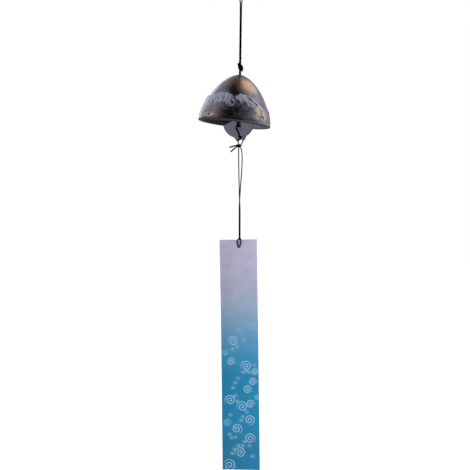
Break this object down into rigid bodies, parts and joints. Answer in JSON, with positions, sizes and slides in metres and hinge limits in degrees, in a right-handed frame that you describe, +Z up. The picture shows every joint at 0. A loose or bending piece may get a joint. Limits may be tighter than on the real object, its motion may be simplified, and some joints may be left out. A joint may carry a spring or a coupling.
{
  "type": "furin wind bell",
  "caption": "Hanging cast wind bell with a mountain range in relief, a plate clapper on a cord and a paper strip below that catches the wind and swings the clapper.",
  "frame": {"origin": "inside of the hanging loop's top, where a hook carries it", "axes": "+Z up along the hanging cord, -Y towards the viewer's side of the bell, +X to the viewer's right"},
  "size_m": [0.072, 0.0724, 0.4822],
  "materials": {
    "bell": "cast copper alloy with a dark patina, silvered peaks and gilded foothills",
    "clapper": "grey satin plate",
    "paper": "matt paper printed with a fade from pale lilac to blue",
    "black_cord": "black twisted cord",
    "thread": "thin black waxed thread"
  },
  "bodies": {
    "hanging_loop": {"hanging_loop": "black_cord"},
    "hanging_cord": {"hanging_strand_left": "black_cord", "hanging_strand_right": "black_cord", "crown_knot": "black_cord", "crown_knot_tail": "black_cord", "neck_strand_left": "black_cord", "neck_strand_right": "black_cord"},
    "bell": {"bell": "bell"},
    "stopper_knot": {"stopper_knot": "black_cord"},
    "clapper": {"clapper": "clapper", "clapper_cord": "black_cord", "clapper_stop_knot": "black_cord"},
    "bridle": {"bridle_loop": "thread", "bridle_knot": "thread", "bridle_tail_upper": "thread", "bridle_tail_lower": "thread"},
    "strip_thread": {"thread_left": "thread", "thread_right": "thread"},
    "strip_hitch": {"strip_hitch": "thread", "strip_loop_left": "thread", "strip_loop_right": "thread"},
    "paper_strip": {"paper_strip": "paper"}
  },
  "joints": [
    {"name": "cord_sway", "type": "hinge", "parent": "hanging_loop", "child": "hanging_cord", "pos_m": [-0.00017, 0, -0.01225], "axis": [0, 1, 0], "range_deg": [-20, 20]},
    {"name": "bell_rock", "type": "hinge", "parent": "hanging_cord", "child": "bell", "pos_m": [-0.00192, 0, -0.09263], "axis": [0, 1, 0], "range_deg": [-16.8, 3.2]},
    {"name": "clapper_turn", "type": "hinge", "parent": "bell", "child": "stopper_knot", "pos_m": [-0.00192, 0, -0.09263], "axis": [0.1184, 0, 0.993], "range_deg": [-180, 180]},
    {"name": "clapper_swing", "type": "hinge", "parent": "stopper_knot", "child": "clapper", "pos_m": [-0.00192, 0, -0.09263], "axis": [-0.2588, -0.9659, 0], "range_deg": [-23, 11.2]},
    {"name": "bridle_swing", "type": "hinge", "parent": "clapper", "child": "bridle", "pos_m": [-0.0009, -0.00027, -0.14933], "axis": [-0.2588, -0.9659, 0], "range_deg": [-35, 35]},
    {"name": "thread_flap", "type": "hinge", "parent": "bridle", "child": "strip_thread", "pos_m": [-0.00216, 0.00006, -0.15773], "axis": [0.9659, -0.2588, 0], "range_deg": [-30, 30]},
    {"name": "strip_twist", "type": "hinge", "parent": "strip_thread", "child": "strip_hitch", "pos_m": [-0.00163, 0.00006, -0.25063], "axis": [0, 0, 1], "range_deg": [-180, 180]},
    {"name": "strip_swing", "type": "hinge", "parent": "strip_hitch", "child": "paper_strip", "pos_m": [-0.00163, 0.00006, -0.25853], "axis": [-0.1736, -0.9848, 0], "range_deg": [-8, 8]}
  ]
}
